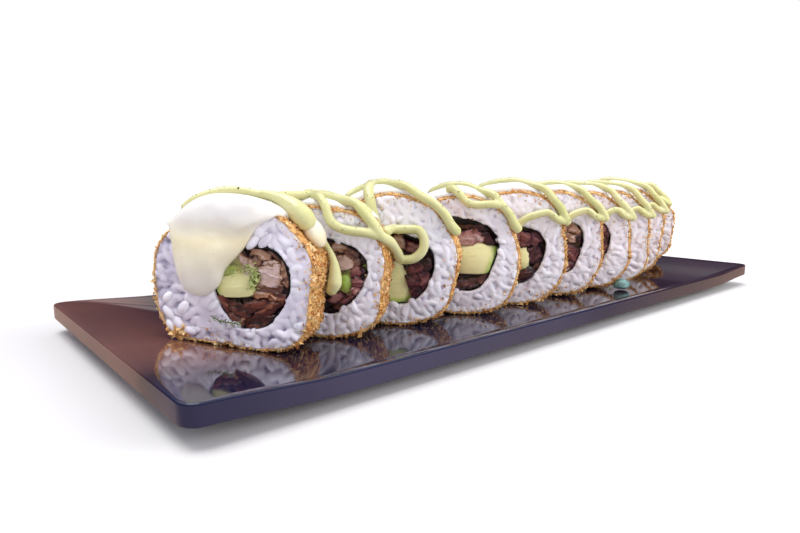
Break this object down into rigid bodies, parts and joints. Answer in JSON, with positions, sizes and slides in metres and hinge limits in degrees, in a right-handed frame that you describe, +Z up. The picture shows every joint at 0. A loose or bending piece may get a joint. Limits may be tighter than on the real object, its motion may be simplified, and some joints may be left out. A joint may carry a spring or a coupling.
{
  "type": "plate of sushi rolls",
  "caption": "Long shallow dark plate with a row of breaded sushi roll slices filled with meat and avocado, under melted cream and strands of herb sauce.",
  "frame": {"origin": "middle of the plate's foot, on the surface it stands on", "axes": "+X along the plate, towards the far end of the row; +Y across the plate, away from the side that the slices stand nearest to; +Z up"},
  "size_m": [0.33, 0.142, 0.0621],
  "materials": {
    "plate": "glossy near-black melamine",
    "rice": "moist white rice in a golden crumb crust",
    "nori": "damp black seaweed",
    "avocado": "soft, with a greener rim",
    "meat": "dark stringy meat",
    "pale_meat": "pale stringy meat",
    "cream": "glossy melted cream with strands of green herb sauce",
    "dill": "fresh herb",
    "wasabi": "moist paste"
  },
  "bodies": {
    "root": {"plate": "plate", "rice_01": "rice", "rice_02": "rice", "rice_03": "rice", "rice_04": "rice", "rice_05": "rice", "rice_06": "rice", "rice_07": "rice", "rice_08": "rice", "rice_09": "rice", "rice_10": "rice", "nori_01": "nori", "nori_02": "nori", "nori_03": "nori", "nori_04": "nori", "nori_05": "nori", "nori_06": "nori", "nori_07": "nori", "nori_08": "nori", "nori_09": "nori", "nori_10": "nori", "avocado_01": "avocado", "avocado_02": "avocado", "avocado_03": "avocado", "avocado_04": "avocado", "avocado_05": "avocado", "avocado_06": "avocado", "avocado_07": "avocado", "avocado_08": "avocado", "avocado_09": "avocado", "avocado_10": "avocado", "meat_01": "meat", "meat_02": "meat", "meat_03": "meat", "meat_04": "meat", "meat_05": "meat", "meat_06": "meat", "meat_07": "meat", "meat_08": "meat", "meat_09": "meat", "meat_10": "meat", "pale_meat_01": "pale_meat", "pale_meat_02": "pale_meat", "pale_meat_03": "pale_meat", "pale_meat_04": "pale_meat", "pale_meat_05": "pale_meat", "pale_meat_06": "pale_meat", "cream_01": "cream", "cream_02": "cream", "cream_03": "cream", "cream_04": "cream", "cream_05": "cream", "cream_06": "cream", "cream_07": "cream", "cream_08": "cream", "cream_09": "cream", "cream_10": "cream", "dill_01": "dill", "wasabi": "wasabi"}
  },
  "joints": []
}
